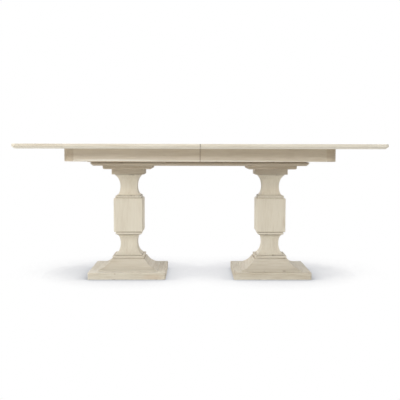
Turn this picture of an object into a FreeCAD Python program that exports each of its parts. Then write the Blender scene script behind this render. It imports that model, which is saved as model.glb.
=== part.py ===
import FreeCAD, Part
import math
import os

# Double pedestal extension dining table, closed, in millimetres.
# The origin is on the floor under the middle of the table. +X runs along the table, +Z is up.
# The two halves of the top slide apart along X on runners that stay on the pedestals' subframe.

V = FreeCAD.Vector
UP = V(0, 0, 1)
ACROSS = V(0, 1, 0)

# Overall
table_height = 762.0
overrun = 1.0            # how far a cutter passes through what it cuts

# Floor glides
glide_height = 2.0
glide_radius = 14.0
glide_inset = 42.0       # centre of a glide from the slab's edges
glide_nail_radius = 2.5
glide_nail_length = 14.0

# Base slabs
slab_size = 436.0
slab_thickness = 39.2
slab_corner_radius = 6.0
slab_edge_radius = 3.0

# Foot: a wide cove that carries a flat band
foot_size = 342.0
foot_step = 4.0
foot_cove_height = 55.3
foot_cove_sag = 11.0
foot_cove_top_size = 193.0
foot_quirk_height = 5.0
foot_quirk_depth = 4.0
foot_band_size = 182.0
foot_band_height = 12.6
foot_band_ease = 1.5

# Necks, alike above and below the block
neck_size = 95.0
neck_block_flare_reach = 22.5
neck_block_flare_height = 51.0
neck_end_flare_reach = 42.0
neck_end_flare_height = 70.0
neck_end_flare_run = 66.5
neck_quirk_height = 2.5
neck_quirk_depth = 2.0
neck_lip_height = 1.3

# Block, which takes up the height that the other pieces leave
block_size = 167.6
block_arris_radius = 6.0
block_corner_ease = 2.4
block_quirk_size = 144.0
block_quirk_height = 5.0
block_band_size = 149.0
block_band_height = 8.0

# Capital
abacus_size = 186.0
abacus_height = 31.4
abacus_ease = 1.6
capital_size = 277.0
capital_height = 19.7
capital_ovolo = 9.5
capital_edge_ease = 1.5

# Tie rods through the pedestals
tie_rod_radius = 6.0
tie_rod_bore_radius = 7.0
tie_rod_stick_out = 4.0  # past each nut
nut_across_flats = 19.0
nut_height = 10.0
washer_radius = 15.0
washer_thickness = 2.5
washer_play = 0.4
slab_pocket_radius = 20.0
slab_pocket_play = 2.0   # between the slab's underside and the rod's end

# Subframe
subframe_setback = 104.5  # from the end apron's outer face
subframe_lip = 50.0       # from the middle of a runner out to the subframe's side
subframe_ledge = 20.0     # from the middle of a runner in to the rail's inner edge
subframe_thickness = 20.0
subframe_bevel = 12.0
pedestal_setback = 206.0  # from the subframe's end to a pedestal's axis
bearer_width = 200.0
stretcher_width = 120.0
bolt_radius = 4.0
bolt_head_radius = 7.0
bolt_head_height = 5.0
bolt_length = 40.0
bolt_play = 0.1
bolt_spacing_x = 140.0
bolt_spacing_y = 110.0

# Runners, fixed to the subframe
runner_setback = 27.0    # from the subframe's end
runner_height = 58.6
runner_width = 36.0
runner_head_room = 3.6   # under the cleats
groove_rise = 25.6
groove_height = 12.0
groove_depth = 9.0

# Slides, fixed to the halves of the top
slide_end_room = 144.0   # from a slide's end to the other half's end apron
slide_width = 28.0
slide_play = 0.5         # beside the runner, at a tongue's tip and above a tongue
slide_floor_play = 1.6   # above the subframe
slide_gear_room = 3.75   # beside the gear block
slide_relief = 1.5       # under the cleats of the other half
slide_travel = 285.0

# Equalizer: a pinion between two racks
gear_module = 3.0
pinion_teeth = 18
pinion_thickness = 11.5
pinion_play = 0.3
pinion_bore_play = 0.05
pressure_angle = 20.0    # degrees
gear_backlash = 0.5
gear_dedendum_share = 1.25
flank_steps = 5
rack_back = 10.0
rack_height = 12.0
rack_engagement = 20.0   # rack left past the pinion's axle at either end of its travel
rack_play = 0.5
axle_radius = 6.0
axle_head_radius = 8.0
axle_head_height = 2.5
axle_depth = 24.0        # into the gear block
gear_block_length = 110.0
gear_lip_width = 8.5
gear_lip_drop = 2.0      # from the racks' tops to the lips' tops

# Top
top_length = 1930.0
top_depth = 1118.0
top_thickness = 25.4
top_corner_radius = 20.0
top_roundover = 3.0
top_bevel_run = 14.0
top_bevel_rise = 11.5
top_seam_gap = 0.5
top_seam_ease = 0.8

# Apron
apron_end_setback = 243.5   # from the top's end
apron_side_setback = 119.0  # from the top's side
apron_height = 68.0
apron_thickness = 22.0
apron_corner_radius = 57.0
apron_seam_gap = 1.4
apron_edge_ease = 1.5

# Cleats across the underside of each half
cleat_thickness = 16.0
cleat_end_play = 2.0
seam_cleat_width = 50.0
seam_cleat_setback = 10.0
end_cleat_width = 70.0
end_cleat_setback = 65.0  # from the end apron's inner face

# Dowels across the seam
dowel_radius = 4.75
dowel_hole_play = 0.3
dowel_length = 40.0
dowel_reach = 15.0       # past the seam
dowel_tip_ease = 1.5
dowel_place_shares = (0.25, 0.8)

# Locks under the seam
lock_setback = 140.0     # from the apron's face
lock_plate_length = 44.0
lock_plate_width = 30.0
lock_plate_thickness = 3.0
lock_pivot_setback = 30.0
lock_post_setback = 22.0
lock_pin_radius = 4.0
lock_pin_head_radius = 6.5
lock_pin_head_height = 2.0
lock_lever_thickness = 3.5
lock_lever_play = 0.4
lock_bore_play = 0.05
lock_arm_width = 20.0
lock_arm_tip = 6.0
lock_notch_play = 0.5
lock_tab_length = 40.0
lock_tab_width = 13.0
lock_notch_turn = 25.0   # degrees

# Screws, all alike
screw_length = 33.0
screw_radius = 2.2
screw_head_radius = 4.5
screw_head_height = 3.0
screw_play = 0.1
screw_head_play = 0.6
screw_sink = 1.0         # head below the face it enters by
screw_tip_cover = 3.0    # wood left above a slide screw's tip
cleat_screw_place_shares = (0.45, 0.88)
runner_screw_place_shares = (0.13, 0.4, 0.9)
end_screw_spacing = 40.0
gear_screw_spacing = 80.0

# Heights worked out from the top down
top_underside = table_height - top_thickness
apron_bottom = top_underside - apron_height
cleat_bottom = top_underside - cleat_thickness
slide_top = cleat_bottom - slide_relief
rack_bottom = slide_top - rack_height
runner_top = cleat_bottom - runner_head_room
subframe_top = runner_top - runner_height
slide_bottom = subframe_top + slide_floor_play
subframe_bottom = subframe_top - subframe_thickness
capital_bottom = subframe_bottom - capital_height
abacus_bottom = capital_bottom - abacus_height

# Heights worked out from the floor up, with the block between
slab_top = glide_height + slab_thickness
foot_top = slab_top + foot_step + foot_cove_height + foot_quirk_height + foot_band_height
shaft_length = (neck_quirk_height + neck_block_flare_height + neck_end_flare_run
                + neck_lip_height + neck_quirk_height)
block_bottom = foot_top + shaft_length
block_top = abacus_bottom - shaft_length
block_middle = (block_bottom + block_top) / 2

# Gear sizes
pitch_radius = gear_module * pinion_teeth / 2
rack_pitch = math.pi * gear_module
gear_dedendum = gear_dedendum_share * gear_module
rack_back_offset = pitch_radius + gear_dedendum + rack_back
rack_middle_offset = pitch_radius + gear_dedendum + rack_back / 2
gear_block_inner = rack_back_offset + rack_play
gear_block_outer = gear_block_inner + gear_lip_width

# Places along Y, from the gear out to the subframe's side
slide_offset_inner = gear_block_outer + slide_gear_room + slide_width / 2
runner_inner = slide_offset_inner + slide_width / 2 + slide_play
runner_offset = runner_inner + runner_width / 2
runner_outer = runner_inner + runner_width
slide_offset_outer = runner_outer + slide_play + slide_width / 2
subframe_depth = 2 * (runner_offset + subframe_lip)
subframe_rail_width = subframe_lip + subframe_ledge

# Lengths and depths worked out from the top inwards
apron_length = top_length - 2 * apron_end_setback
apron_depth = top_depth - 2 * apron_side_setback
subframe_length = apron_length - 2 * subframe_setback
runner_length = subframe_length - 2 * runner_setback
pedestal_spacing = subframe_length - 2 * pedestal_setback
lock_offset = apron_depth / 2 - lock_setback

# Places along X, for the half on the -X side
end_apron_inside = apron_length / 2 - apron_thickness
end_cleat_outer = end_apron_inside - end_cleat_setback
end_cleat_inner = end_cleat_outer - end_cleat_width
end_cleat_middle = (end_cleat_outer + end_cleat_inner) / 2
seam_cleat_outer = seam_cleat_setback + seam_cleat_width
seam_cleat_middle = seam_cleat_setback + seam_cleat_width / 2
cleat_half_length = apron_depth / 2 - apron_thickness - cleat_end_play
slide_length = end_cleat_outer + end_apron_inside - slide_end_room


def box(x0, x1, y0, y1, z0, z1):
    """A block between two corners."""
    return Part.makeBox(x1 - x0, y1 - y0, z1 - z0, V(x0, y0, z0))


def post(radius, x, y, z0, z1):
    """An upright cylinder."""
    return Part.makeCylinder(radius, z1 - z0, V(x, y, z0))


def joined(shapes):
    """Several touching solids as one piece, without the seams between them."""
    return shapes[0].fuse(shapes[1:]).removeSplitter()


def turned(shape):
    """A copy turned half a turn about the table's upright axis."""
    copy = shape.copy()
    copy.rotate(V(0, 0, 0), UP, 180)
    return copy


def moved(shape, x=0, y=0):
    """A copy in another place."""
    copy = shape.copy()
    copy.translate(V(x, y, 0))
    return copy


def save(node, shape):
    """Write one sub-part, whether it is one solid or a group of them."""
    shape.exportStep("parts/" + node + ".step")


def prism(points, z0, z1):
    """A flat outline in XY, raised from one height to another."""
    corners = [V(x, y, z0) for x, y in points]
    face = Part.Face(Part.makePolygon(corners + corners[:1]))
    return face.extrude(V(0, 0, z1 - z0))


def edges_where(shape, test):
    """The edges whose middle point passes a test."""
    found = []
    for edge in shape.Edges:
        middle = edge.valueAt((edge.FirstParameter + edge.LastParameter) / 2)
        if test(middle):
            found.append(edge)
    return found


def is_near(a, b):
    """Whether two places are the same, within modelling accuracy."""
    return abs(a - b) < overrun / 1000


# Mitred mouldings: a profile of half width against height, the same on four sides

def line(a, b):
    """A straight stretch of a profile, from (half width, height) to the next."""
    return Part.LineSegment(V(a[0], 0, a[1]), V(b[0], 0, b[1])).toShape()


def lines(points):
    """Straight stretches through a list of profile points."""
    return [line(a, b) for a, b in zip(points, points[1:])]


def sagged_arc(a, b, sag):
    """A hollow arc between two profile points, bowed in towards the axis and down."""
    run = b[0] - a[0]
    rise = b[1] - a[1]
    chord = math.hypot(run, rise)
    middle = V((a[0] + b[0]) / 2 - sag * rise / chord, 0, (a[1] + b[1]) / 2 + sag * run / chord)
    return Part.Arc(V(a[0], 0, a[1]), middle, V(b[0], 0, b[1])).toShape()


def corner_arc(middle, radius, start, end):
    """A circular stretch about a centre, between two angles in degrees."""
    places = [math.radians(angle) for angle in (start, (start + end) / 2, end)]
    points = [V(middle[0] + radius * math.cos(p), 0, middle[1] + radius * math.sin(p)) for p in places]
    return Part.Arc(*points).toShape()


def flare(neck, reach, height, run):
    """A neck's swelling: part of an ellipse that leaves the neck upright. run is up or down."""
    centre = V(neck[0] + reach, 0, neck[1])
    ellipse = Part.Ellipse(centre + V(0, 0, height), centre - V(reach, 0, 0), centre)
    end = math.acos(run / height)
    return ellipse.toShape(min(end, math.pi / 2), max(end, math.pi / 2))


def flare_width(neck_half, reach, height, run):
    """The half width that a neck's swelling has grown to."""
    return neck_half + reach * (1 - math.sqrt(1 - (run / height) ** 2))


def mitred(profile, bottom, top):
    """A four-sided piece: the profile run along X and along Y, with the corners mitred.

    bottom and top are the profile's first and last point.
    """
    side = profile + [edge.mirror(V(0, 0, 0), V(1, 0, 0)) for edge in profile]
    closing = [line((-bottom[0], bottom[1]), bottom), line((-top[0], top[1]), top)]
    wire = Part.Wire(Part.sortEdges(side + closing)[0])
    reach = wire.BoundBox.XMax + overrun
    face = Part.Face(wire)
    face.translate(V(0, -reach, 0))
    along = face.extrude(V(0, 2 * reach, 0))
    across = along.copy()
    across.rotate(V(0, 0, 0), UP, 90)
    return along.common(across).removeSplitter()


def tie_rod_bore(z0, z1):
    """The hole for a tie rod through a pedestal piece."""
    return post(tie_rod_bore_radius, 0, 0, z0 - overrun, z1 + overrun)


# Pedestal pieces, each made about its own axis and moved to its place at the end

def glide_places():
    """Centres of the glides under one slab."""
    reach = slab_size / 2 - glide_inset
    return [(x, y) for x in (-reach, reach) for y in (-reach, reach)]


def base_slab():
    """The square slab that stands on the floor, with a pocket below for the tie rod's nut."""
    half = slab_size / 2
    slab = box(-half, half, -half, half, glide_height, slab_top)
    middle = (glide_height + slab_top) / 2
    slab = slab.makeFillet(slab_corner_radius, edges_where(slab, lambda p: is_near(p.z, middle)))
    slab = slab.makeFillet(slab_edge_radius, edges_where(slab, lambda p: is_near(p.z, slab_top)))
    pocket = post(slab_pocket_radius, 0, 0, glide_height - overrun, slab_pocket_top())
    nails = [post(glide_nail_radius, x, y, glide_height - overrun, glide_height + glide_nail_length)
             for x, y in glide_places()]
    return slab.cut([pocket, tie_rod_bore(glide_height, slab_top)] + nails)


def slab_pocket_top():
    """Where the pocket under a slab ends, and the lower washer bears."""
    return glide_height + slab_pocket_play + tie_rod_stick_out + nut_height + washer_thickness


def floor_glide(x, y):
    """A nailed glide: a low disc with its nail up in the slab."""
    disc = post(glide_radius, x, y, 0, glide_height)
    disc = disc.makeChamfer(glide_height / 2, edges_where(disc, lambda p: is_near(p.z, 0)))
    nail = post(glide_nail_radius, x, y, glide_height, glide_height + glide_nail_length)
    return disc.fuse(nail)


def foot_cove():
    """The foot: a low step, a wide cove, a sunk line and a flat band."""
    foot_half = foot_size / 2
    cove_half = foot_cove_top_size / 2
    band_half = foot_band_size / 2
    quirk_half = band_half - foot_quirk_depth
    cove_bottom = slab_top + foot_step
    cove_top = cove_bottom + foot_cove_height
    band_bottom = cove_top + foot_quirk_height
    profile = lines([(foot_half, slab_top), (foot_half, cove_bottom)])
    profile.append(sagged_arc((foot_half, cove_bottom), (cove_half, cove_top), foot_cove_sag))
    profile += lines([
        (cove_half, cove_top), (quirk_half, cove_top), (quirk_half, band_bottom),
        (band_half - foot_band_ease, band_bottom), (band_half, band_bottom + foot_band_ease),
        (band_half, foot_top - foot_band_ease), (band_half - foot_band_ease, foot_top)])
    foot = mitred(profile, (foot_half, slab_top), (band_half - foot_band_ease, foot_top))
    return foot.cut(tie_rod_bore(slab_top, foot_top))


def upper_shaft():
    """The neck above the block. It swells to a lip at the block and again under the abacus."""
    neck_half = neck_size / 2
    lip_z = block_top + neck_quirk_height
    neck_z = lip_z + neck_block_flare_height
    end_z = neck_z + neck_end_flare_run
    lip_half = neck_half + neck_block_flare_reach
    end_half = flare_width(neck_half, neck_end_flare_reach, neck_end_flare_height, neck_end_flare_run)
    edge_z = end_z + neck_lip_height
    profile = lines([(lip_half - neck_quirk_depth, block_top),
                     (lip_half - neck_quirk_depth, lip_z), (lip_half, lip_z)])
    profile.append(flare((neck_half, neck_z), neck_block_flare_reach,
                         neck_block_flare_height, -neck_block_flare_height))
    profile.append(flare((neck_half, neck_z), neck_end_flare_reach,
                         neck_end_flare_height, neck_end_flare_run))
    profile += lines([(end_half, end_z), (end_half, edge_z),
                      (end_half - neck_quirk_depth, edge_z), (end_half - neck_quirk_depth, abacus_bottom)])
    shaft = mitred(profile, (lip_half - neck_quirk_depth, block_top),
                   (end_half - neck_quirk_depth, abacus_bottom))
    return shaft.cut(tie_rod_bore(block_top, abacus_bottom))


def lower_shaft():
    """The neck below the block, the upper one's mirror image."""
    return upper_shaft().mirror(V(0, 0, block_middle), UP)


def block():
    """The square block in the middle, with a sunk line and a band above and below."""
    half = block_size / 2
    quirk_half = block_quirk_size / 2
    band_half = block_band_size / 2
    flat_bottom = block_bottom + block_band_height + block_quirk_height
    flat_top = block_top - block_band_height - block_quirk_height
    arris = block_arris_radius
    profile = lines([
        (band_half, block_bottom), (band_half, block_bottom + block_band_height),
        (quirk_half, block_bottom + block_band_height), (quirk_half, flat_bottom),
        (half - arris, flat_bottom)])
    profile.append(corner_arc((half - arris, flat_bottom + arris), arris, -90, 0))
    profile.append(line((half, flat_bottom + arris), (half, flat_top - arris)))
    profile.append(corner_arc((half - arris, flat_top - arris), arris, 0, 90))
    profile += lines([
        (half - arris, flat_top), (quirk_half, flat_top), (quirk_half, block_top - block_band_height),
        (band_half, block_top - block_band_height), (band_half, block_top)])
    solid = mitred(profile, (band_half, block_bottom), (band_half, block_top))
    corner_reach = math.sqrt(2) * half - block_corner_ease
    corner_tool = box(-corner_reach, corner_reach, -corner_reach, corner_reach,
                      block_bottom - overrun, block_top + overrun)
    corner_tool.rotate(V(0, 0, 0), UP, 45)
    return solid.common(corner_tool).cut(tie_rod_bore(block_bottom, block_top))


def bolt_places():
    """Centres of the bolts that hold one pedestal to its bearer."""
    x = bolt_spacing_x / 2
    y = bolt_spacing_y / 2
    return [(-x, -y), (x, -y), (-x, y), (x, y)]


def bolt_hole(x, y):
    """The hole for one of those bolts, with a sunk seat for its head."""
    seat_z = subframe_top - bolt_head_height
    shank = post(bolt_radius + bolt_play, x, y, seat_z - bolt_length, seat_z + overrun)
    seat = post(bolt_head_radius + bolt_play, x, y, seat_z, subframe_top + overrun)
    return shank.fuse(seat)


def bolt_holes():
    """The four bolt holes of one pedestal."""
    return [bolt_hole(x, y) for x, y in bolt_places()]


def bolt(x, y):
    """One bolt from a bearer down into the capital."""
    seat_z = subframe_top - bolt_head_height
    return post(bolt_radius, x, y, seat_z - bolt_length, seat_z).fuse(
        post(bolt_head_radius, x, y, seat_z, subframe_top))


def capital_plate():
    """The wide plate under the subframe, with a rounded lower edge."""
    half = capital_size / 2
    flat_half = half - capital_ovolo
    start = (flat_half - capital_edge_ease, capital_bottom)
    ovolo_top = capital_bottom + capital_ovolo
    profile = [line(start, (flat_half, capital_bottom))]
    profile.append(corner_arc((flat_half, ovolo_top), capital_ovolo, -90, 0))
    profile.append(line((half, ovolo_top), (half, subframe_bottom)))
    plate = mitred(profile, start, (half, subframe_bottom))
    return plate.cut([tie_rod_bore(capital_bottom, subframe_bottom)] + bolt_holes())


def tie_rod():
    """The threaded rod that holds a pedestal together."""
    bottom = glide_height + slab_pocket_play
    top = subframe_top + washer_thickness + nut_height + tie_rod_stick_out
    return post(tie_rod_radius, 0, 0, bottom, top)


def nut(z):
    """A hexagon nut on the tie rod, from a height up."""
    reach = nut_across_flats / math.sqrt(3)
    corners = [(reach * math.cos(math.radians(a)), reach * math.sin(math.radians(a)))
               for a in range(0, 360, 60)]
    bore = post(tie_rod_radius, 0, 0, z - overrun, z + nut_height + overrun)
    return prism(corners, z, z + nut_height).cut(bore)


def washer(z):
    """A washer on the tie rod, from a height up."""
    ring = post(washer_radius, 0, 0, z, z + washer_thickness)
    return ring.cut(post(tie_rod_radius + washer_play, 0, 0, z - overrun, z + washer_thickness + overrun))


def nuts():
    """The two nuts of one tie rod."""
    return [nut(slab_pocket_top() - washer_thickness - nut_height), nut(subframe_top + washer_thickness)]


def washers():
    """The two washers of one tie rod."""
    return [washer(slab_pocket_top() - washer_thickness), washer(subframe_top)]


def abacus():
    """The plain square board on the upper neck, with eased edges, drilled for the tips of the bolts."""
    half = abacus_size / 2
    board = box(-half, half, -half, half, abacus_bottom, capital_bottom)
    board = board.makeChamfer(abacus_ease, board.Edges)
    return board.cut([tie_rod_bore(abacus_bottom, capital_bottom)] + bolt_holes())


def bearer():
    """The board between the subframe's rails that a pedestal is bolted to."""
    inner = subframe_depth / 2 - subframe_rail_width
    board = box(-bearer_width / 2, bearer_width / 2, -inner, inner, subframe_bottom, subframe_top)
    return board.cut([tie_rod_bore(subframe_bottom, subframe_top)] + bolt_holes())


# Screws

def screw(x, y, z):
    """A screw driven upwards, with its head's face at a height."""
    head = post(screw_head_radius, x, y, z, z + screw_head_height)
    return head.fuse(post(screw_radius, x, y, z + screw_head_height, z + screw_length))


def screw_hole(x, y, z, mouth):
    """The hole that a screw is driven up from, with room for its head from the mouth on."""
    seat = post(screw_head_radius + screw_head_play, x, y, mouth - overrun, z + screw_head_height)
    return seat.fuse(post(screw_radius + screw_play, x, y, z, z + screw_length + screw_play))


def subframe_screw_places():
    """Screws up through the subframe into the runners and the gear block."""
    half = runner_length / 2
    runners = [(side * share * half, y) for share in runner_screw_place_shares
               for side in (-1, 1) for y in (-runner_offset, runner_offset)]
    reach = gear_screw_spacing / 2
    return runners + [(x, y) for x in (-reach, reach) for y in (-reach / 2, reach / 2)]


def subframe_screw_holes():
    """The holes for those screws."""
    z = subframe_bottom + screw_sink
    return [screw_hole(x, y, z, subframe_bottom) for x, y in subframe_screw_places()]


# Subframe

def long_rail():
    """The front rail of the subframe, mitred at its ends and bevelled along its lower outer edge."""
    end = subframe_length / 2
    face = subframe_depth / 2
    width = subframe_rail_width
    rail = prism([(-end, -face), (end, -face), (end - width, width - face), (width - end, width - face)],
                 subframe_bottom, subframe_top)
    return rail.cut(bevel_tool(end)).cut(subframe_screw_holes())


def bevel_tool(reach):
    """The wedge that bevels a rail at Y = -depth / 2, along X."""
    face = -subframe_depth / 2
    leg = subframe_bevel + overrun
    corners = [(-overrun, -overrun), (leg, -overrun), (-overrun, leg)]
    points = [V(-reach - overrun, face + y, subframe_bottom + z) for y, z in corners]
    return Part.Face(Part.makePolygon(points + points[:1])).extrude(V(2 * (reach + overrun), 0, 0))


def end_rail():
    """The rail at the -X end of the subframe."""
    end = subframe_length / 2
    face = subframe_depth / 2
    width = subframe_rail_width
    rail = prism([(-end, -face), (width - end, width - face), (width - end, face - width), (-end, face)],
                 subframe_bottom, subframe_top)
    wedge = bevel_tool(face)
    wedge.rotate(V(0, 0, 0), UP, -90)
    wedge.translate(V(face - end, 0, 0))
    return rail.cut(wedge)


def centre_stretcher():
    """The board across the middle of the subframe, which carries the gear block."""
    inner = subframe_depth / 2 - subframe_rail_width
    board = box(-stretcher_width / 2, stretcher_width / 2, -inner, inner, subframe_bottom, subframe_top)
    return board.cut(subframe_screw_holes())


# Runners and slides

def groove_bottom():
    """Height of the floor of a runner's grooves, on which the slides' tongues rest."""
    return subframe_top + groove_rise


def runner():
    """The runner at the front: a rail with a groove in each side."""
    half = runner_length / 2
    reach = half + overrun
    rail = box(-half, half, -runner_outer, -runner_inner, subframe_top, runner_top)
    z0 = groove_bottom()
    z1 = z0 + groove_height
    outer = box(-reach, reach, -runner_outer - overrun, groove_depth - runner_outer, z0, z1)
    inner = box(-reach, reach, -runner_inner - groove_depth, overrun - runner_inner, z0, z1)
    return rail.cut([outer, inner]).cut(subframe_screw_holes())


def slide(middle_y, tongue_side):
    """A slide of the -X half. Its tongue runs in a groove on the side given, -1 or 1."""
    start = -end_cleat_outer
    end = start + slide_length
    y0 = middle_y - slide_width / 2
    y1 = middle_y + slide_width / 2
    bar = box(start, end, y0, y1, slide_bottom, slide_top)
    tongue_reach = slide_width / 2 + groove_depth
    tongue_z = groove_bottom()
    tongue = box(start, end, min(middle_y, middle_y + tongue_side * tongue_reach),
                 max(middle_y, middle_y + tongue_side * tongue_reach),
                 tongue_z, tongue_z + groove_height - slide_play)
    pads = [box(start, -end_cleat_inner, y0, y1, slide_top - overrun, cleat_bottom),
            box(-seam_cleat_outer, -seam_cleat_setback, y0, y1, slide_top - overrun, cleat_bottom)]
    bar = joined([bar, tongue] + pads)
    return bar.cut([screw_hole(x, y, slide_screw_z(), slide_bottom) for x, y in slide_screw_places()])


def slide_screw_z():
    """Height of the heads of the screws through the slides."""
    return top_underside - screw_tip_cover - screw_length


def slide_screw_places():
    """Screws up through the slides of the -X half into its cleats."""
    along = [-end_cleat_middle - end_screw_spacing / 2, -end_cleat_middle + end_screw_spacing / 2,
             -seam_cleat_middle]
    return [(x, y) for x in along for y in (-slide_offset_outer, slide_offset_inner)]


def cleat_screw_z():
    """Height of the heads of the screws through the cleats into the top."""
    return cleat_bottom + screw_sink


def cleat_screw_places():
    """Screws up through the cleats of the -X half into its top."""
    return [(x, side * share * cleat_half_length) for x in (-end_cleat_middle, -seam_cleat_middle)
            for share in cleat_screw_place_shares for side in (-1, 1)]


def rack_screw_z():
    """Height of the heads of the screws through the rack."""
    return rack_bottom + screw_sink


def rack_screw_places():
    """Screws up through the rack of the -X half into its cleats."""
    return [(-end_cleat_middle, -rack_middle_offset), (-seam_cleat_middle, -rack_middle_offset)]


def half_screw_holes():
    """Every screw hole that enters the cleats and the top of the -X half."""
    holes = [screw_hole(x, y, slide_screw_z(), slide_bottom) for x, y in slide_screw_places()]
    holes += [screw_hole(x, y, cleat_screw_z(), cleat_bottom) for x, y in cleat_screw_places()]
    holes += [screw_hole(x, y, rack_screw_z(), rack_bottom) for x, y in rack_screw_places()]
    return holes


def half_screws():
    """Every screw of the -X half."""
    screws = [screw(x, y, slide_screw_z()) for x, y in slide_screw_places()]
    screws += [screw(x, y, cleat_screw_z()) for x, y in cleat_screw_places()]
    screws += [screw(x, y, rack_screw_z()) for x, y in rack_screw_places()]
    return Part.makeCompound(screws)


# Equalizer

def involute_point(base_radius, radius, turn):
    """A point of an involute at a radius, with the curve's foot turned by an angle."""
    roll = math.sqrt((radius / base_radius) ** 2 - 1)
    angle = turn + roll - math.atan(roll)
    return (radius * math.cos(angle), radius * math.sin(angle))


def pinion_outline():
    """The pinion's teeth, with a tooth centred on +X."""
    tip_radius = pitch_radius + gear_module
    root_radius = pitch_radius - gear_dedendum
    base_radius = pitch_radius * math.cos(math.radians(pressure_angle))
    pitch_roll = math.tan(math.radians(pressure_angle))
    half_tooth = (rack_pitch - gear_backlash) / 4 / pitch_radius
    flank_turn = -half_tooth - (pitch_roll - math.radians(pressure_angle))
    rise = (tip_radius - base_radius) / flank_steps
    radii = [base_radius + rise * step for step in range(flank_steps + 1)]
    flank = [involute_point(base_radius, radius, flank_turn) for radius in radii]
    root = (root_radius * math.cos(flank_turn), root_radius * math.sin(flank_turn))
    lower = [root] + flank
    tooth = lower + [(x, -y) for x, y in reversed(lower)]
    outline = []
    for number in range(pinion_teeth):
        turn = 2 * math.pi * number / pinion_teeth
        outline += [(x * math.cos(turn) - y * math.sin(turn), x * math.sin(turn) + y * math.cos(turn))
                    for x, y in tooth]
    return outline


def pinion_bottom():
    """Height of the pinion's lower face."""
    return rack_bottom - rack_play + pinion_play


def pinion():
    """The pinion, between the two racks."""
    z0 = pinion_bottom()
    z1 = z0 + pinion_thickness
    bore = post(axle_radius + pinion_bore_play, 0, 0, z0 - overrun, z1 + overrun)
    return prism(pinion_outline(), z0, z1).cut(bore)


def axle():
    """The shouldered bolt that the pinion turns on."""
    head_z = pinion_bottom() + pinion_thickness + pinion_play
    shank = post(axle_radius, 0, 0, rack_bottom - rack_play - axle_depth, head_z)
    return shank.fuse(post(axle_head_radius, 0, 0, head_z, head_z + axle_head_height))


def gear_block():
    """The block on the stretcher: a floor for the pinion and a lip behind each rack."""
    half = gear_block_length / 2
    inner = gear_block_inner
    outer = gear_block_outer
    floor_z = rack_bottom - rack_play
    lip_z = slide_top - gear_lip_drop
    solid = box(-half, half, -outer, outer, subframe_top, floor_z)
    lips = [box(-half, half, -outer, -inner, floor_z - overrun, lip_z),
            box(-half, half, inner, outer, floor_z - overrun, lip_z)]
    hole = post(axle_radius, 0, 0, floor_z - axle_depth, floor_z + overrun)
    return joined([solid] + lips).cut([hole] + subframe_screw_holes())


def rack():
    """The rack of the -X half, at the front of the pinion, with its teeth towards the back."""
    start = -end_cleat_outer
    end = slide_travel + rack_engagement
    back_y = -rack_back_offset
    root_y = -pitch_radius - gear_dedendum
    tip_y = -pitch_radius + gear_module
    slope = math.tan(math.radians(pressure_angle))
    half_tooth = (rack_pitch - gear_backlash) / 4
    root_reach = half_tooth + gear_dedendum * slope
    tip_reach = half_tooth - gear_module * slope
    outline = [(start, back_y), (end, back_y), (end, root_y)]
    first = -int(rack_engagement / rack_pitch)
    last = int((end - root_reach) / rack_pitch)
    for number in range(last, first - 1, -1):
        x = number * rack_pitch
        outline += [(x + root_reach, root_y), (x + tip_reach, tip_y),
                    (x - tip_reach, tip_y), (x - root_reach, root_y)]
    outline.append((start, root_y))
    bar = prism(outline, rack_bottom, slide_top)
    pads = [box(start, -end_cleat_inner, back_y, root_y, slide_top - overrun, cleat_bottom),
            box(-seam_cleat_outer, -seam_cleat_setback, back_y, root_y, slide_top - overrun, cleat_bottom)]
    return joined([bar] + pads).cut([screw_hole(x, y, rack_screw_z(), rack_bottom)
                                     for x, y in rack_screw_places()])


# Top and apron of the -X half

def top_outline(inset, z):
    """The plan of the -X half's top, drawn in by an inset on its three outer sides."""
    x0 = inset - top_length / 2
    x1 = -top_seam_gap / 2
    y = top_depth / 2 - inset
    radius = top_corner_radius - inset / 2
    bulge = radius * (1 - math.sqrt(0.5))
    edges = [
        Part.LineSegment(V(x1, y, z), V(x0 + radius, y, z)),
        Part.Arc(V(x0 + radius, y, z), V(x0 + bulge, y - bulge, z), V(x0, y - radius, z)),
        Part.LineSegment(V(x0, y - radius, z), V(x0, radius - y, z)),
        Part.Arc(V(x0, radius - y, z), V(x0 + bulge, bulge - y, z), V(x0 + radius, -y, z)),
        Part.LineSegment(V(x0 + radius, -y, z), V(x1, -y, z)),
        Part.LineSegment(V(x1, -y, z), V(x1, y, z))]
    return Part.Wire([edge.toShape() for edge in edges])


def dowel_places():
    """Places of the dowels along the seam."""
    return [side * share * top_depth / 2 for share in dowel_place_shares for side in (-1, 1)]


def dowel_height():
    """Height of the dowels, in the middle of the top's thickness."""
    return table_height - top_thickness / 2


def dowel_hole(y, reach, radius):
    """A hole from the seam into the -X half."""
    return Part.makeCylinder(radius, reach + overrun, V(overrun, y, dowel_height()), V(-1, 0, 0))


def top_panel(hole_reach, hole_radius):
    """The top of the -X half: rounded corners, a soft upper edge and a bevel under it."""
    bevel_top = top_underside + top_bevel_rise
    upper = Part.Face(top_outline(0, bevel_top)).extrude(V(0, 0, table_height - bevel_top))

    def is_outer_top_edge(point):
        """The upper edges, apart from the one at the seam."""
        return is_near(point.z, table_height) and not is_near(point.x, -top_seam_gap / 2)

    def is_seam_top_edge(point):
        """The upper edge at the seam."""
        return is_near(point.z, table_height) and is_near(point.x, -top_seam_gap / 2)

    upper = upper.makeFillet(top_roundover, edges_where(upper, is_outer_top_edge))
    upper = upper.makeChamfer(top_seam_ease, edges_where(upper, is_seam_top_edge))
    outlines = [top_outline(0, bevel_top), top_outline(top_bevel_run, top_underside)]
    panel = upper.fuse(Part.makeLoft(outlines, True, True))
    holes = [dowel_hole(y, hole_reach, hole_radius) for y in dowel_places()]
    return panel.cut(holes + half_screw_holes())


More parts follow.
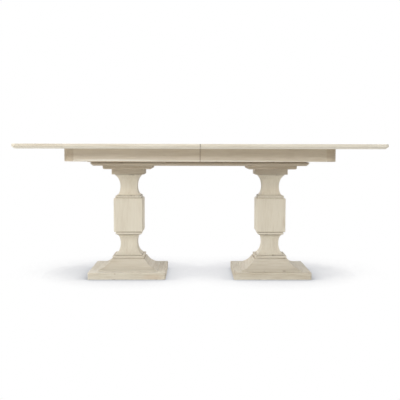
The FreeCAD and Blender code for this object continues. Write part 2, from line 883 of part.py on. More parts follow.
def dowel(y):
    """A dowel, glued in the -X half, with its tip past the seam."""
    start = dowel_reach - dowel_length
    pin = Part.makeCylinder(dowel_radius, dowel_length, V(start, y, dowel_height()), V(1, 0, 0))
    return pin.makeChamfer(dowel_tip_ease, edges_where(pin, lambda p: is_near(p.x, dowel_reach)))


def long_apron():
    """The front apron of the -X half, from the seam to the rounded corner."""
    x0 = apron_corner_radius - apron_length / 2
    x1 = -apron_seam_gap / 2
    y0 = -apron_depth / 2
    board = box(x0, x1, y0, y0 + apron_thickness, apron_bottom, top_underside)
    return board.makeChamfer(apron_edge_ease, edges_where(
        board, lambda p: is_near(p.z, apron_bottom) and is_near(p.y, y0)))


def end_apron():
    """The apron across the end of the -X half."""
    x0 = -apron_length / 2
    reach = apron_depth / 2 - apron_corner_radius
    board = box(x0, x0 + apron_thickness, -reach, reach, apron_bottom, top_underside)
    return board.makeChamfer(apron_edge_ease, edges_where(
        board, lambda p: is_near(p.z, apron_bottom) and is_near(p.x, x0)))


def corner_block(side):
    """The rounded corner between two aprons of the -X half, at the front (-1) or the back (1)."""
    x = apron_corner_radius - apron_length / 2
    y = side * (apron_depth / 2 - apron_corner_radius)
    quarter = Part.makeCylinder(apron_corner_radius, apron_height, V(x, y, apron_bottom), UP, 90)
    quarter.rotate(V(x, y, 0), UP, 90 if side > 0 else 180)

    def is_outer_bottom_edge(point):
        """The round lower edge."""
        out = math.hypot(point.x - x, point.y - y)
        return is_near(point.z, apron_bottom) and is_near(out, apron_corner_radius)

    return quarter.makeChamfer(apron_edge_ease, edges_where(quarter, is_outer_bottom_edge))


def cleat(outer, inner):
    """A cleat across the underside of the -X half, between two places from the seam."""
    board = box(-outer, -inner, -cleat_half_length, cleat_half_length, cleat_bottom, top_underside)
    return board.cut(half_screw_holes())


# Locks

def lock_gap_top():
    """Height of the underside of the lock's plates."""
    return cleat_bottom - lock_plate_thickness


def lock_pin(x, y):
    """A headed pin below a plate. A lever fits between the plate and the head."""
    lever_room = lock_lever_thickness + 2 * lock_lever_play
    head_top = lock_gap_top() - lever_room
    return post(lock_pin_radius, x, y, head_top, lock_gap_top()).fuse(
        post(lock_pin_head_radius, x, y, head_top - lock_pin_head_height, head_top))


def lock_plate(x0, pin_x, y):
    """A plate under a seam cleat, with its pin."""
    plate = box(x0, x0 + lock_plate_length, y - lock_plate_width / 2, y + lock_plate_width / 2,
                lock_gap_top(), cleat_bottom)
    return plate.fuse(lock_pin(pin_x, y)).removeSplitter()


def lock_plates():
    """The plates that carry the levers, under the -X half."""
    x0 = -seam_cleat_middle - lock_plate_length / 2
    return Part.makeCompound([lock_plate(x0, -lock_pivot_setback, y) for y in (-lock_offset, lock_offset)])


def lock_keepers():
    """The plates whose pins the levers hook, under the +X half."""
    x0 = seam_cleat_middle - lock_plate_length / 2
    return Part.makeCompound([lock_plate(x0, lock_post_setback, y) for y in (-lock_offset, lock_offset)])


def lock_lever(side):
    """The lever of the front (-1) or back (1) lock, open, with its arm along the seam."""
    x = -lock_pivot_setback
    y = side * lock_offset
    z1 = lock_gap_top() - lock_lever_play
    z0 = z1 - lock_lever_thickness
    throw = lock_pivot_setback + lock_post_setback
    notch_half = lock_pin_radius + lock_notch_play
    tip = throw + notch_half + lock_arm_tip
    arm = box(0, tip, -lock_arm_width / 2, lock_arm_width / 2, z0, z1)
    tab = box(-lock_tab_length, 0, -lock_tab_width / 2, lock_tab_width / 2, z0, z1)
    hub = post(lock_arm_width / 2, 0, 0, z0, z1)
    tab_end = post(lock_tab_width / 2, -lock_tab_length, 0, z0, z1)
    ring = post(throw + notch_half, 0, 0, z0 - overrun, z1 + overrun).cut(
        post(throw - notch_half, 0, 0, z0 - overrun, z1 + overrun))
    turn = math.radians(lock_notch_turn)
    far = 2 * tip
    wedge = prism([(0, 0), (far, 0), (far, side * -far * math.tan(turn))], z0 - overrun, z1 + overrun)
    notch = ring.common(wedge).fuse(post(notch_half, throw, 0, z0 - overrun, z1 + overrun))
    bore = post(lock_pin_radius + lock_bore_play, 0, 0, z0 - overrun, z1 + overrun)
    lever = joined([arm, tab, hub, tab_end]).cut([notch, bore])
    lever.rotate(V(0, 0, 0), UP, 90 * side)
    return moved(lever, x, y)


# Writing the pieces

def save_pedestals():
    """Both pedestals, piece by piece, and what holds them together."""
    pieces = {
        "base_slab": base_slab(),
        "foot_cove": foot_cove(),
        "lower_shaft": lower_shaft(),
        "block": block(),
        "upper_shaft": upper_shaft(),
        "abacus": abacus(),
        "capital_plate": capital_plate(),
        "bearer": bearer(),
    }
    reach = pedestal_spacing / 2
    for name, shape in pieces.items():
        save("left_" + name, moved(shape, -reach))
        save("right_" + name, moved(shape, reach))

    def at_both(shapes):
        """A group of pieces of one pedestal, at both pedestals."""
        return Part.makeCompound([moved(shape, x) for x in (-reach, reach) for shape in shapes])

    save("floor_glides", at_both([floor_glide(x, y) for x, y in glide_places()]))
    save("tie_rods", at_both([tie_rod()]))
    save("tie_rod_nuts", at_both(nuts()))
    save("tie_rod_washers", at_both(washers()))
    save("bearer_bolts", at_both([bolt(x, y) for x, y in bolt_places()]))


def save_subframe():
    """The subframe, its runners and the gear."""
    rail = long_rail()
    end = end_rail()
    front_runner = runner()
    save("subframe_front_rail", rail)
    save("subframe_back_rail", turned(rail))
    save("subframe_left_end", end)
    save("subframe_right_end", turned(end))
    save("centre_stretcher", centre_stretcher())
    save("front_runner", front_runner)
    save("back_runner", turned(front_runner))
    screws = [screw(x, y, subframe_bottom + screw_sink) for x, y in subframe_screw_places()]
    save("subframe_screws", Part.makeCompound(screws))
    save("gear_block", gear_block())
    save("gear_axle", axle())
    save("pinion", pinion())


def save_halves():
    """Both halves of the top. The right one is the left one turned half a turn."""
    tight = top_panel(dowel_length - dowel_reach, dowel_radius)
    loose = top_panel(dowel_reach + dowel_hole_play, dowel_radius + dowel_hole_play)
    save("left_top_panel", tight)
    save("right_top_panel", turned(loose))
    front = long_apron()
    back = front.mirror(V(0, 0, 0), ACROSS)
    end = end_apron()
    corners = Part.makeCompound([corner_block(-1), corner_block(1)])
    outer_slide = slide(-slide_offset_outer, 1)
    inner_slide = slide(slide_offset_inner, 1)
    end_cleat = cleat(end_cleat_outer, end_cleat_inner)
    seam_cleat = cleat(seam_cleat_outer, seam_cleat_setback)
    bar = rack()
    screws = half_screws()
    left = {"front_apron": front, "back_apron": back, "end_apron": end, "corner_blocks": corners,
            "front_slide": outer_slide, "back_slide": inner_slide, "end_cleat": end_cleat,
            "seam_cleat": seam_cleat, "rack": bar, "screws": screws}
    right = {"back_apron": front, "front_apron": back, "end_apron": end, "corner_blocks": corners,
             "back_slide": outer_slide, "front_slide": inner_slide, "end_cleat": end_cleat,
             "seam_cleat": seam_cleat, "rack": bar, "screws": screws}
    for name, shape in left.items():
        save("left_" + name, shape)
    for name, shape in right.items():
        save("right_" + name, turned(shape))
    save("seam_dowels", Part.makeCompound([dowel(y) for y in dowel_places()]))


def save_locks():
    """The two locks under the seam."""
    save("lock_plates", lock_plates())
    save("lock_keepers", lock_keepers())
    save("front_lock_lever", lock_lever(-1))
    save("back_lock_lever", lock_lever(1))


os.makedirs("parts", exist_ok=True)
save_pedestals()
save_subframe()
save_halves()
save_locks()
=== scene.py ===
import math

import bmesh
import bpy
from mathutils import Matrix, Vector


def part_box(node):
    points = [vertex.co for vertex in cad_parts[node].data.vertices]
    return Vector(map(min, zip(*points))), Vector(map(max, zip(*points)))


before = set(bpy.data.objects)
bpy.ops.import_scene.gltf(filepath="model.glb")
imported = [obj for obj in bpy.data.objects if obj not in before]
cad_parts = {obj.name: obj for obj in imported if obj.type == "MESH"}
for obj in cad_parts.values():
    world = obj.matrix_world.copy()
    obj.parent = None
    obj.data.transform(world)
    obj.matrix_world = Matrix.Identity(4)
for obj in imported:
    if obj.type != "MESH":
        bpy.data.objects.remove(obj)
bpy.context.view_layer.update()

# A double pedestal extension table in an antique cream finish, in metres.


def colour(red, green, blue):
    """A colour as the eye reads it, 0 to 255, in the renderer's linear values."""
    return tuple(((c / 255 + 0.055) / 1.055) ** 2.4 for c in (red, green, blue)) + (1.0,)


class Recipe:
    """A material being mixed: its nodes, its links and its shader."""

    def __init__(self, name):
        self.material = bpy.data.materials.new(name)
        self.material.use_nodes = True
        self.tree = self.material.node_tree
        self.shader = self.tree.nodes["Principled BSDF"]
        self.output = self.tree.nodes["Material Output"]
        self.place = self.add("TexCoord").outputs["Object"]

    def add(self, kind, inputs=None, **settings):
        """A new node, with its settings and its inputs, each a value or another node's socket."""
        node = self.tree.nodes.new("ShaderNode" + kind)
        for name, value in settings.items():
            setattr(node, name, value)
        for name, value in (inputs or {}).items():
            self.feed(node.inputs[name], value)
        return node

    def feed(self, socket, value):
        """Gives a socket a value or a link."""
        if isinstance(value, bpy.types.NodeSocket):
            self.tree.links.new(value, socket)
        else:
            socket.default_value = value

    def sum(self, operation, *values):
        """One step of arithmetic."""
        return self.add("Math", dict(enumerate(values)), operation=operation).outputs[0]

    def split(self, vector):
        """The three numbers of a vector."""
        return self.add("SeparateXYZ", {0: vector}).outputs

    def scaled(self, vector, scale, shift=(0.0, 0.0, 0.0)):
        """Coordinates moved and scaled."""
        node = self.add("Mapping", {"Vector": vector, "Location": shift, "Scale": scale})
        return node.outputs["Vector"]

    def noise(self, vector, scale, detail=2.0, roughness=0.5, distortion=0.0):
        """Soft irregular variation from 0 to 1, with scale features in a metre."""
        node = self.add("TexNoise", {"Vector": vector, "Scale": scale, "Detail": detail,
                                     "Roughness": roughness, "Distortion": distortion})
        return node.outputs["Fac"]

    def spread(self, value, low, high, to_low=0.0, to_high=1.0):
        """Stretches a value from one range to another, and holds it there."""
        node = self.add("MapRange", {"Value": value, "From Min": low, "From Max": high,
                                     "To Min": to_low, "To Max": to_high})
        return node.outputs["Result"]

    def blend(self, share, a, b, how="MIX"):
        """Two colours in one."""
        node = self.add("Mix", data_type="RGBA", blend_type=how, clamp_factor=True)
        for index, value in ((0, share), (6, a), (7, b)):
            self.feed(node.inputs[index], value)
        return node.outputs[2]

    def either(self, choice, a, b):
        """One of two vectors: a at 0, b at 1."""
        node = self.add("Mix", data_type="VECTOR")
        for index, value in ((0, choice), (4, a), (5, b)):
            self.feed(node.inputs[index], value)
        return node.outputs[1]

    def steps(self, value, stops):
        """A colour ramp: (place, colour) stops."""
        node = self.add("ValToRGB", {0: value})
        ramp = node.color_ramp
        ramp.elements[0].position, ramp.elements[0].color = stops[0]
        ramp.elements[1].position, ramp.elements[1].color = stops[-1]
        for place, tint in stops[1:-1]:
            ramp.elements.new(place).color = tint
        return node.outputs["Color"]

    def relief(self, height, strength, depth, softened=0.0):
        """Fine relief, over arrises eased by a small radius."""
        node = self.add("Bump", {"Height": height, "Strength": strength, "Distance": depth})
        if softened:
            eased = self.add("Bevel", {"Radius": softened}, samples=6)
            self.feed(node.inputs["Normal"], eased.outputs["Normal"])
        self.feed(self.shader.inputs["Normal"], node.outputs["Normal"])

    def finish(self, **sockets):
        """Sets the shader's own sockets and hands over the material."""
        for name, value in sockets.items():
            self.feed(self.shader.inputs[name.replace("_", " ")], value)
        return self.material


# Wood and its finishes

CREAM = colour(230, 223, 207)
CREAM_WASH = colour(240, 235, 222)      # where the paint lies thick, and on edges paled by wear and a painted highlight
CREAM_GLAZE = colour(209, 198, 178)     # where brown glaze stays in the grain
PAINTED_HIGHLIGHT = colour(250, 245, 234)          # the palest paint, a painted highlight where light catches edges and tops
GLAZE = colour(118, 90, 66)
WHITE = colour(255, 255, 255)

PEDESTAL_REACH = 0.411                  # from the middle of the table to a pedestal's axis
BOARD = 0.142                           # width of a board in the top
QUIRK_REACH = 0.0035                    # how far glaze and painted shade spread out of an inner corner
EDGE_REACH = 0.0045                     # how far an outer edge is paled by wear and a painted highlight
SEAM_GLAZE = 0.002, 0.0045              # glaze beside the middle seam: full to here, gone by here
ARRIS_EASE = 0.0018                     # the radius that sharp arrises are shaded with
SHADE_FADE = 0.011                      # height over which the painted shade thins out below a gap
MARK_CORE = 0.4                         # share of a mark's reach in which it is full

BRUSHED_GRAIN = 130.0                   # features in a metre across the grain
FIBRE_GRAIN = 430.0
WORN_PATCHES = 22.0

PAINT_SHEEN = 0.18                      # dull, so that it stays cream at a low angle
PAINT_ROUGHNESS = 0.66, 0.54            # in the hollows and on the ridges of the brushed grain


def drawn_out(mix, axes, length, shift):
    """Object coordinates that stretch a pattern along some axes."""
    scale = [1 / length if axis in axes else 1.0 for axis in "xyz"]
    return mix.scaled(mix.place, scale, shift)


def grain_run(mix, along, length, shift):
    """Coordinates drawn out along the grain: x, y, z, round a corner, or mitred round a frame."""
    if along == "round":
        return drawn_out(mix, "xy", length, shift)
    if along != "mitred":
        return drawn_out(mix, along, length, shift)
    x, y, z = mix.split(mix.place)
    off_axis = mix.sum("ABSOLUTE", mix.sum("SUBTRACT", mix.sum("ABSOLUTE", x), PEDESTAL_REACH))
    at_side = mix.sum("GREATER_THAN", off_axis, mix.sum("ABSOLUTE", y))
    return mix.either(at_side, drawn_out(mix, "x", length, shift), drawn_out(mix, "y", length, shift))


def half_and_half(mix, a, b):
    """The mean of two layers of grain, each near 0.5."""
    return mix.sum("MULTIPLY_ADD", a, 0.5, mix.sum("MULTIPLY", b, 0.5))


def pored(mix, tint, fibre):
    """Glaze in the finest pores, where the fibre runs high."""
    return mix.blend(mix.spread(fibre, 0.56, 0.72, 0.0, 0.3), tint, CREAM_GLAZE)


def marked(mix, tint, marks):
    """Soft oval marks, each with its centre, its reach each way, its share and its colour."""
    for centre, reach, share, stain in marks:
        spot = mix.add("VectorMath", {0: mix.place, 1: centre}, operation="SUBTRACT").outputs[0]
        spot = mix.add("VectorMath", {0: spot, 1: reach}, operation="DIVIDE").outputs[0]
        spot = mix.add("VectorMath", {0: spot}, operation="LENGTH").outputs["Value"]
        tint = mix.blend(mix.spread(spot, MARK_CORE, 1.0, share, 0.0), tint, stain)
    return tint


def aged_with_painted_light(mix, tint, low_edge=None):
    """Glaze and painted shade left in the quirks; outer edges paled by wear and a painted highlight, and in
    patches down to the wood.

    Boards with a low_edge meet others flush: they have glaze in the seam, and only that edge is paled by wear
    and a painted highlight."""
    # painted shade: the glaze colour darkens inner corners as far as they are enclosed, besides the glaze
    # that lies there
    corner = mix.add("AmbientOcclusion", {"Distance": QUIRK_REACH}, samples=8).outputs["AO"]
    tint = mix.blend(mix.spread(corner, 0.78, 0.38, 0.0, 0.8), tint, GLAZE)
    # partly a painted highlight: outer edges are paled as far as they stand out, besides real wear
    edge = mix.add("AmbientOcclusion", {"Distance": EDGE_REACH}, samples=8, inside=True,
                   only_local=True).outputs["AO"]
    wear_and_highlight = mix.spread(edge, 0.94, 0.62, 0.0, 0.8)
    if low_edge is not None:
        x, y, z = mix.split(mix.place)
        tint = mix.blend(mix.spread(mix.sum("ABSOLUTE", x), *SEAM_GLAZE, 0.45, 0.0), tint, GLAZE)
        wear_and_highlight = mix.sum("MULTIPLY", wear_and_highlight, mix.spread(z, low_edge + 0.006, low_edge + 0.010, 1.0, 0.1))
    tint = mix.blend(wear_and_highlight, tint, CREAM_WASH)
    patches = mix.noise(mix.place, WORN_PATCHES, 3.0, 0.6)
    bare = mix.sum("MULTIPLY", wear_and_highlight, mix.spread(patches, 0.60, 0.68, 0.0, 0.7))
    return mix.blend(bare, tint, GLAZE)


def paint_skin(mix, tint, brush, fibre, strength, depth):
    """The relief of the grain under the paint, eased arrises and a dull sheen."""
    mix.relief(mix.sum("MULTIPLY_ADD", brush, 0.5, fibre), strength, depth, ARRIS_EASE)
    return mix.finish(Base_Color=tint, Roughness=mix.spread(brush, 0.3, 0.7, *PAINT_ROUGHNESS),
                      Specular_IOR_Level=PAINT_SHEEN)


def cream(name, along, shift, paint, figure, low_edge=None, painted_shade_from=None, marks=()):
    """Antique cream over open grain: brushed paint, with brown glaze wiped into it.

    Painted shade, in the glaze's colour, lies thick from a given height upwards, in the shaded gap between
    two boards."""
    mix = Recipe(name)
    broad = mix.noise(grain_run(mix, along, 10.0, shift), 18.0, 2.0, 0.5)
    brush = mix.noise(grain_run(mix, along, 14.0, shift), BRUSHED_GRAIN, 3.0, 0.6, 0.2)
    fibre = mix.noise(grain_run(mix, along, 26.0, shift), FIBRE_GRAIN, 3.0, 0.6)
    tone = half_and_half(mix, brush, broad)
    tint = mix.steps(tone, [(0.5 - 0.14 / figure, CREAM_GLAZE), (0.50, CREAM),
                            (0.5 + 0.16 / figure, CREAM_WASH)])
    tint = pored(mix, tint, fibre)
    # the paint multiplies in glaze, and for some pieces painted light or painted shade
    if paint != WHITE:
        tint = mix.blend(1.0, tint, paint, "MULTIPLY")
    # painted shade: darker towards the top, in the gap under the apron
    if painted_shade_from is not None:
        height = mix.split(mix.place)[2]
        tint = mix.blend(mix.spread(height, painted_shade_from - SHADE_FADE, painted_shade_from, 0.0, 0.6), tint, GLAZE)
    tint = marked(mix, tint, marks)
    tint = aged_with_painted_light(mix, tint, low_edge)
    return paint_skin(mix, tint, brush, fibre, 0.14, 0.0006)


def planked(name, low_edge):
    """The same finish on a top of glued boards, each with its own figure.

    The bevel just above low_edge is painted palest, a painted highlight, but not the underside."""
    mix = Recipe(name)
    x, y, z = mix.split(mix.place)
    across = mix.sum("DIVIDE", y, BOARD)
    board = mix.sum("ROUND", across)
    off_board = mix.sum("SUBTRACT", across, board)
    chance = mix.add("TexWhiteNoise", {"W": board}, noise_dimensions="1D")
    luck = chance.outputs["Value"]
    offset = mix.add("VectorMath", {0: chance.outputs["Color"], 1: (3.1, 0.4, 1.7)}, operation="MULTIPLY")
    place = mix.add("VectorMath", {0: mix.place, 1: offset.outputs[0]}, operation="ADD").outputs[0]
    broad = mix.noise(mix.scaled(place, (1 / 14, 1.0, 1.0)), 17.0, 2.0, 0.5)
    brush = mix.noise(mix.scaled(place, (1 / 26, 1.0, 1.0)), BRUSHED_GRAIN, 3.0, 0.6)
    fibre = mix.noise(mix.scaled(place, (1 / 40, 1.0, 1.0)), FIBRE_GRAIN, 3.0, 0.6)
    off_heart = mix.sum("ADD", mix.sum("MULTIPLY", off_board, BOARD), mix.spread(luck, 0.0, 1.0, -0.05, 0.05))
    along = mix.sum("DIVIDE", mix.split(place)[0], 18.0)
    oval = mix.add("CombineXYZ", {0: along, 1: off_heart})
    rings = mix.add("TexWave", {"Vector": oval.outputs[0], "Scale": 20.0, "Distortion": 4.0,
                                "Detail": 2.0, "Detail Scale": 0.35},
                    wave_type="RINGS", rings_direction="Z").outputs["Fac"]
    tone = half_and_half(mix, brush, broad)
    tone = mix.sum("ADD", tone, mix.spread(luck, 0.0, 1.0, -0.045, 0.045))
    tone = mix.sum("ADD", tone, mix.spread(rings, 0.0, 1.0, -0.02, 0.02))
    tint = mix.steps(tone, [(0.30, CREAM_GLAZE), (0.51, CREAM), (0.73, CREAM_WASH)])
    tint = pored(mix, tint, fibre)
    from_joint = mix.sum("SUBTRACT", 0.5, mix.sum("ABSOLUTE", off_board))
    tint = mix.blend(mix.spread(from_joint, 0.0, 0.008, 0.35, 0.0), tint, GLAZE)
    # painted highlight: the lower bevel of the top painted palest
    bevel_highlight = mix.sum("MULTIPLY", mix.spread(z, low_edge + 0.0005, low_edge + 0.0015),
                     mix.spread(z, low_edge + 0.004, low_edge + 0.014, 0.9, 0.0))
    tint = mix.blend(bevel_highlight, tint, PAINTED_HIGHLIGHT)
    tint = aged_with_painted_light(mix, tint, low_edge)
    return paint_skin(mix, tint, brush, fibre, 0.12, 0.0005)


def bare_wood(name, along, shift):
    """Planed hardwood without finish, for the parts that slide."""
    mix = Recipe(name)
    broad = mix.noise(grain_run(mix, along, 10.0, shift), 30.0, 3.0, 0.55, 0.4)
    streak = mix.noise(grain_run(mix, along, 22.0, shift), 190.0, 4.0, 0.6, 0.3)
    fibre = mix.noise(grain_run(mix, along, 26.0, shift), 800.0, 3.0, 0.6)
    tone = half_and_half(mix, streak, broad)
    tint = mix.steps(tone, [(0.34, colour(176, 143, 101)), (0.50, colour(206, 177, 134)),
                            (0.66, colour(222, 198, 160))])
    pores = mix.spread(fibre, 0.58, 0.74, 0.0, 0.4)
    tint = mix.blend(pores, tint, colour(158, 122, 82))
    mix.relief(fibre, 0.15, 0.0005, 0.0008)
    return mix.finish(Base_Color=tint, Roughness=mix.spread(streak, 0.3, 0.7, 0.7, 0.58))


def nylon(name, pale, dark, rough):
    """Moulded nylon, faintly mottled."""
    mix = Recipe(name)
    mottle = mix.noise(mix.place, 260.0, 3.0, 0.6)
    tint = mix.steps(mottle, [(0.3, dark), (0.7, pale)])
    mix.relief(mix.noise(mix.place, 2200.0, 2.0), 0.08, 0.0002)
    return mix.finish(Base_Color=tint, Roughness=rough)


def plated(name, pale, dark, rough_low, rough_high):
    """Plated steel or brass, with handling marks."""
    mix = Recipe(name)
    marks = mix.noise(mix.place, 320.0, 4.0, 0.6)
    tint = mix.steps(marks, [(0.3, dark), (0.7, pale)])
    mix.relief(mix.noise(mix.place, 1500.0, 3.0), 0.06, 0.0002)
    return mix.finish(Base_Color=tint, Roughness=mix.spread(marks, 0.3, 0.7, rough_low, rough_high),
                      Metallic=1.0)


# What each piece is made of

def give(node, material):
    """Puts a material on a piece brought in from model.glb."""
    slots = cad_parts[node].data.materials
    for index in range(len(slots)):
        slots[index] = material
    if not slots:
        slots.append(material)


PEDESTAL_GRAIN = {"base_slab": "mitred", "foot_cove": "mitred", "lower_shaft": "z", "block": "z",
                  "upper_shaft": "z", "abacus": "mitred", "capital_plate": "mitred"}
HALF_GRAIN = {"front_apron": "x", "back_apron": "x", "end_apron": "y", "corner_blocks": "round"}
HALF_BARE = {"front_slide": "x", "back_slide": "x", "end_cleat": "y", "seam_cleat": "y"}
SUBFRAME_GRAIN = {"front_rail": "x", "back_rail": "x", "left_end": "y", "right_end": "y"}
MIDDLE_BARE = {"front_runner": "x", "back_runner": "x", "gear_block": "x", "centre_stretcher": "y",
               "seam_dowels": "x"}

# How strong the figure of the grain is
LIVELY = 0.8
CALM = {"lower_shaft": 0.4, "block": 0.4, "upper_shaft": 0.4, "front_apron": 0.5, "back_apron": 0.5,
        "end_apron": 0.5, "corner_blocks": 0.5, "subframe": 0.5}

# What the cream is multiplied by: a thin wash of brown glaze, or above 255 a paler paint. Many are painted
# light and shade: the upper shafts painted paler where the top shades them, the abacuses, capital plates,
# corner blocks and subframe darker where shade falls under the top, the right abacus and capital plate darker
# away from the lamps, and the left front apron paler on its lit side.
APRON_TONE = colour(246, 241, 237)
TONES_AND_PAINTED_LIGHT = {"upper_shaft": colour(266, 266, 266), "foot_cove": colour(250, 249, 249),
         "abacus": colour(246, 243, 241), "right_abacus": colour(238, 234, 231),
         "capital_plate": colour(239, 232, 227), "right_capital_plate": colour(234, 226, 220),
         "front_apron": APRON_TONE, "back_apron": APRON_TONE, "end_apron": APRON_TONE,
         "left_front_apron": colour(250, 245, 242), "corner_blocks": colour(236, 228, 221),
         "subframe": colour(236, 230, 225)}

# Small marks: centre, reach each way, share and colour. The knot, the peach patch and the brown wear are the
# wood's own; the palest ones are painted highlights, and the dark one on the right slab's side is painted
# shade.
# painted highlight along the lower edge of the front aprons
APRON_FOOT_HIGHLIGHT = ((0.1, -0.44, 0.669), (0.6, 0.05, 0.008), 1.0, PAINTED_HIGHLIGHT)
MARKS_AND_PAINTED_LIGHT = {
    # painted highlight on the lit left part of the left front apron
    "left_front_apron": [((-0.47, -0.44, 0.676), (0.30, 0.05, 0.007), 0.8, PAINTED_HIGHLIGHT), APRON_FOOT_HIGHLIGHT],
    "right_front_apron": [APRON_FOOT_HIGHLIGHT],
    "left_base_slab": [((-0.477, -0.218, 0.034), (0.008, 0.02, 0.0045), 0.35, colour(150, 122, 92)),
                       ((-0.262, -0.218, 0.015), (0.075, 0.03, 0.024), 0.25, colour(222, 196, 170)),
                       # painted highlight on the left slab's top
                       ((-0.50, -0.20, 0.0422), (0.36, 0.16, 0.003), 0.9, PAINTED_HIGHLIGHT)],
    # painted shade on the right slab's left side, low down by the floor
    "right_base_slab": [((0.193, 0.0, 0.03), (0.012, 0.5, 0.06), 0.4, colour(170, 156, 132))],
    "right_block": [((0.484, -0.084, 0.31), (0.008, 0.02, 0.045), 0.25, colour(176, 148, 116))]}

APRON_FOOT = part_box("left_front_apron")[0][2]
TOP_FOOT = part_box("left_top_panel")[0][2]
SUBFRAME_GAP = 0.011                    # height of the gap between the apron and the subframe's rail, under which the rail is painted dark as shade

count = 0


def next_shift():
    """Another part of the tree for each piece."""
    global count
    count += 1
    return (0.37 * count, 0.61 * count, 0.83 * count)


for hand in ("left_", "right_"):
    for piece, along in {**PEDESTAL_GRAIN, **HALF_GRAIN}.items():
        # each piece's glaze tone, or its painted light or shade
        tone = TONES_AND_PAINTED_LIGHT.get(hand + piece, TONES_AND_PAINTED_LIGHT.get(piece, WHITE))
        give(hand + piece, cream("cream_" + hand + piece, along, next_shift(), tone,
                                 CALM.get(piece, LIVELY),
                                 low_edge=APRON_FOOT if piece in HALF_GRAIN else None,
                                 marks=MARKS_AND_PAINTED_LIGHT.get(hand + piece, ())))
    for piece, along in HALF_BARE.items():
        give(hand + piece, bare_wood("hardwood_" + hand + piece, along, next_shift()))
    give(hand + "top_panel", planked("cream_" + hand + "top_panel", TOP_FOOT))
    give(hand + "bearer", bare_wood("hardwood_" + hand + "bearer", "x", next_shift()))
# The subframe's rails are painted darker towards the top, where the apron shades them.
for piece, along in SUBFRAME_GRAIN.items():
    give("subframe_" + piece, cream("cream_subframe_" + piece, along, next_shift(), TONES_AND_PAINTED_LIGHT["subframe"],
                                    CALM["subframe"], painted_shade_from=APRON_FOOT - SUBFRAME_GAP))
for piece, along in MIDDLE_BARE.items():
    give(piece, bare_wood("hardwood_" + piece, along, next_shift()))

white_nylon = nylon("white_nylon", colour(232, 230, 222), colour(222, 219, 208), 0.38)
brown_nylon = nylon("brown_nylon", colour(96, 72, 52), colour(78, 58, 42), 0.5)
zinc = plated("zinc_plate", colour(200, 198, 190), colour(178, 176, 170), 0.28, 0.42)
brass = plated("brass_plate", colour(208, 176, 108), colour(186, 150, 84), 0.24, 0.38)
for piece in ("pinion", "left_rack", "right_rack"):
    give(piece, white_nylon)
give("floor_glides", brown_nylon)
for piece in ("tie_rods", "tie_rod_nuts", "tie_rod_washers", "bearer_bolts", "subframe_screws",
              "left_screws", "right_screws", "gear_axle"):
    give(piece, zinc)
for piece in ("lock_plates", "lock_keepers", "front_lock_lever", "back_lock_lever"):
    give(piece, brass)


# Floor, backdrop and light

FLOOR_HALF = 30.0
FLOOR_DROP = 0.0005                     # how far the floor lies below the glides
SKY_REACH = 0.5                         # how far off a thing still shades the floor
SKY_LEAN = -0.4                         # the open sky is judged from a little to the front
BETWEEN, OUTSIDE = (0.17, 1.0), (0.32, 2.2)     # distance from the middle, depth of the shadow
SHADOW = [(0.30, colour(180, 181, 184)), (0.55, colour(206, 207, 210)), (0.72, colour(222, 223, 225)),
          (0.86, colour(227, 227, 229)), (0.91, colour(230, 230, 232)), (0.95, colour(236, 236, 238)),
          (0.965, colour(242, 242, 243)), (0.975, colour(246, 246, 246)),
          (0.985, colour(251, 251, 251)), (1.00, WHITE)]      # by how open the sky is


def studio_floor():
    """A pale floor. What looks at it sees plain white, with a soft cool painted shadow round the pedestals,
    set by how open the sky is there and not by the lamps, deeper outside them than between them.

    From below it is clear, so that the underside of the table can be looked at."""
    shape = bmesh.new()
    bmesh.ops.create_grid(shape, x_segments=1, y_segments=1, size=FLOOR_HALF)
    bmesh.ops.translate(shape, verts=shape.verts, vec=(0.0, 0.0, -FLOOR_DROP))
    mesh = bpy.data.meshes.new("floor")
    shape.to_mesh(mesh)
    shape.free()
    floor = bpy.data.objects.new("floor", mesh)
    bpy.context.scene.collection.objects.link(floor)
    mix = Recipe("studio_floor")
    path = mix.add("LightPath")
    seen = mix.sum("MAXIMUM", path.outputs["Is Camera Ray"], path.outputs["Is Glossy Ray"])
    plain = mix.add("BsdfDiffuse", {"Color": colour(236, 235, 232)})
    lean = mix.add("CombineXYZ", {0: 0.0, 1: SKY_LEAN, 2: 1.0}).outputs[0]
    sky = mix.add("AmbientOcclusion", {"Distance": SKY_REACH, "Normal": lean}, samples=16).outputs["AO"]
    off_middle = mix.sum("ABSOLUTE", mix.split(mix.place)[0])
    depth = mix.spread(off_middle, BETWEEN[0], OUTSIDE[0], BETWEEN[1], OUTSIDE[1])
    shut = mix.sum("MULTIPLY", mix.sum("SUBTRACT", 1.0, sky), depth)
    shade = mix.steps(mix.sum("SUBTRACT", 1.0, shut), SHADOW)
    shown = mix.add("Emission", {"Color": shade, "Strength": 1.0})
    both = mix.add("MixShader", {0: seen, 1: plain.outputs[0], 2: shown.outputs[0]})
    clear = mix.add("BsdfTransparent")
    under = mix.sum("MULTIPLY", mix.add("NewGeometry").outputs["Backfacing"], path.outputs["Is Camera Ray"])
    surface = mix.add("MixShader", {0: under, 1: both.outputs[0], 2: clear.outputs[0]})
    mix.feed(mix.output.inputs["Surface"], surface.outputs[0])
    mesh.materials.append(mix.material)


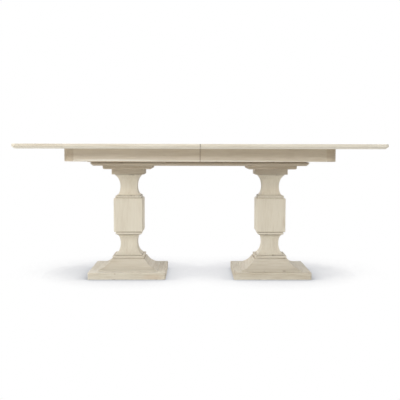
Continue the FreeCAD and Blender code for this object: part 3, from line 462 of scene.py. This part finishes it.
def studio_walls(level, tint):
    """Even light from all round, and plain white where it is looked at."""
    world = bpy.data.worlds.new("studio")
    bpy.context.scene.world = world
    world.use_nodes = True
    tree = world.node_tree
    tree.nodes.clear()
    output = tree.nodes.new("ShaderNodeOutputWorld")
    path = tree.nodes.new("ShaderNodeLightPath")
    seen = tree.nodes.new("ShaderNodeMath")
    seen.operation = "MAXIMUM"
    walls = tree.nodes.new("ShaderNodeBackground")
    walls.inputs["Color"].default_value = tint
    walls.inputs["Strength"].default_value = level
    shown = tree.nodes.new("ShaderNodeBackground")
    shown.inputs["Color"].default_value = WHITE
    shown.inputs["Strength"].default_value = 1.0
    both = tree.nodes.new("ShaderNodeMixShader")
    tree.links.new(path.outputs["Is Camera Ray"], seen.inputs[0])
    tree.links.new(path.outputs["Is Glossy Ray"], seen.inputs[1])
    tree.links.new(seen.outputs[0], both.inputs[0])
    tree.links.new(walls.outputs[0], both.inputs[1])
    tree.links.new(shown.outputs[0], both.inputs[2])
    tree.links.new(both.outputs[0], output.inputs["Surface"])


LIT_MIDDLE = (0.0, 0.0, 0.45)            # what the lamps face
SOFT_BOXES = {                           # degrees round from the front, degrees above, distance,
    "high_left": (-31, 62, 3.2, 0.80, 0.90, 42.0),       # width, height and power
    "front_left": (-45, 20, 9.0, 4.70, 0.95, 134.0),
    "low_left": (-62, 14, 9.0, 4.70, 0.95, 327.0),
    "low_right": (62, 14, 9.0, 4.70, 0.95, 205.0),
    "back": (180, 12, 5.5, 4.50, 1.00, 75.0)}


def soft_box(name, round_from_front, above, away, width, height, power):
    """A flat soft lamp that faces the table's middle, placed by two angles in degrees."""
    lamp = bpy.data.lights.new(name, "AREA")
    lamp.shape = "RECTANGLE"
    lamp.size = width
    lamp.size_y = height
    lamp.energy = power
    holder = bpy.data.objects.new(name, lamp)
    turn, rise = math.radians(round_from_front), math.radians(above)
    aim = Vector((math.sin(turn) * math.cos(rise), -math.cos(turn) * math.cos(rise), math.sin(rise)))
    holder.location = Vector(LIT_MIDDLE) + aim * away
    holder.rotation_euler = aim.to_track_quat("Z", "Y").to_euler()
    holder.visible_camera = False
    bpy.context.scene.collection.objects.link(holder)


CAMERA_PLACE = (-0.026716, -4.39799, 0.75731)
CAMERA_TURN, CAMERA_DROP, CAMERA_ROLL = -0.0066, 0.0732, 0.0020      # radians
CAMERA_LENS = 67.733                     # millimetres, for a sensor 36 wide


def camera():
    """The camera, at the height of the top, a little to the left of the middle."""
    view = bpy.data.cameras.new("camera")
    view.sensor_width = 36.0
    view.lens = CAMERA_LENS
    view.clip_end = 100.0
    holder = bpy.data.objects.new("camera", view)
    turn = (Matrix.Rotation(CAMERA_TURN, 4, "Z") @ Matrix.Rotation(math.pi / 2 - CAMERA_DROP, 4, "X")
            @ Matrix.Rotation(CAMERA_ROLL, 4, "Z"))
    holder.matrix_world = Matrix.Translation(CAMERA_PLACE) @ turn
    bpy.context.scene.collection.objects.link(holder)
    bpy.context.scene.camera = holder


studio_floor()
studio_walls(0.23, (1.0, 0.97, 0.92, 1.0))
for name, setting in SOFT_BOXES.items():
    soft_box(name, *setting)
camera()
bpy.context.scene.view_settings.view_transform = "Standard"
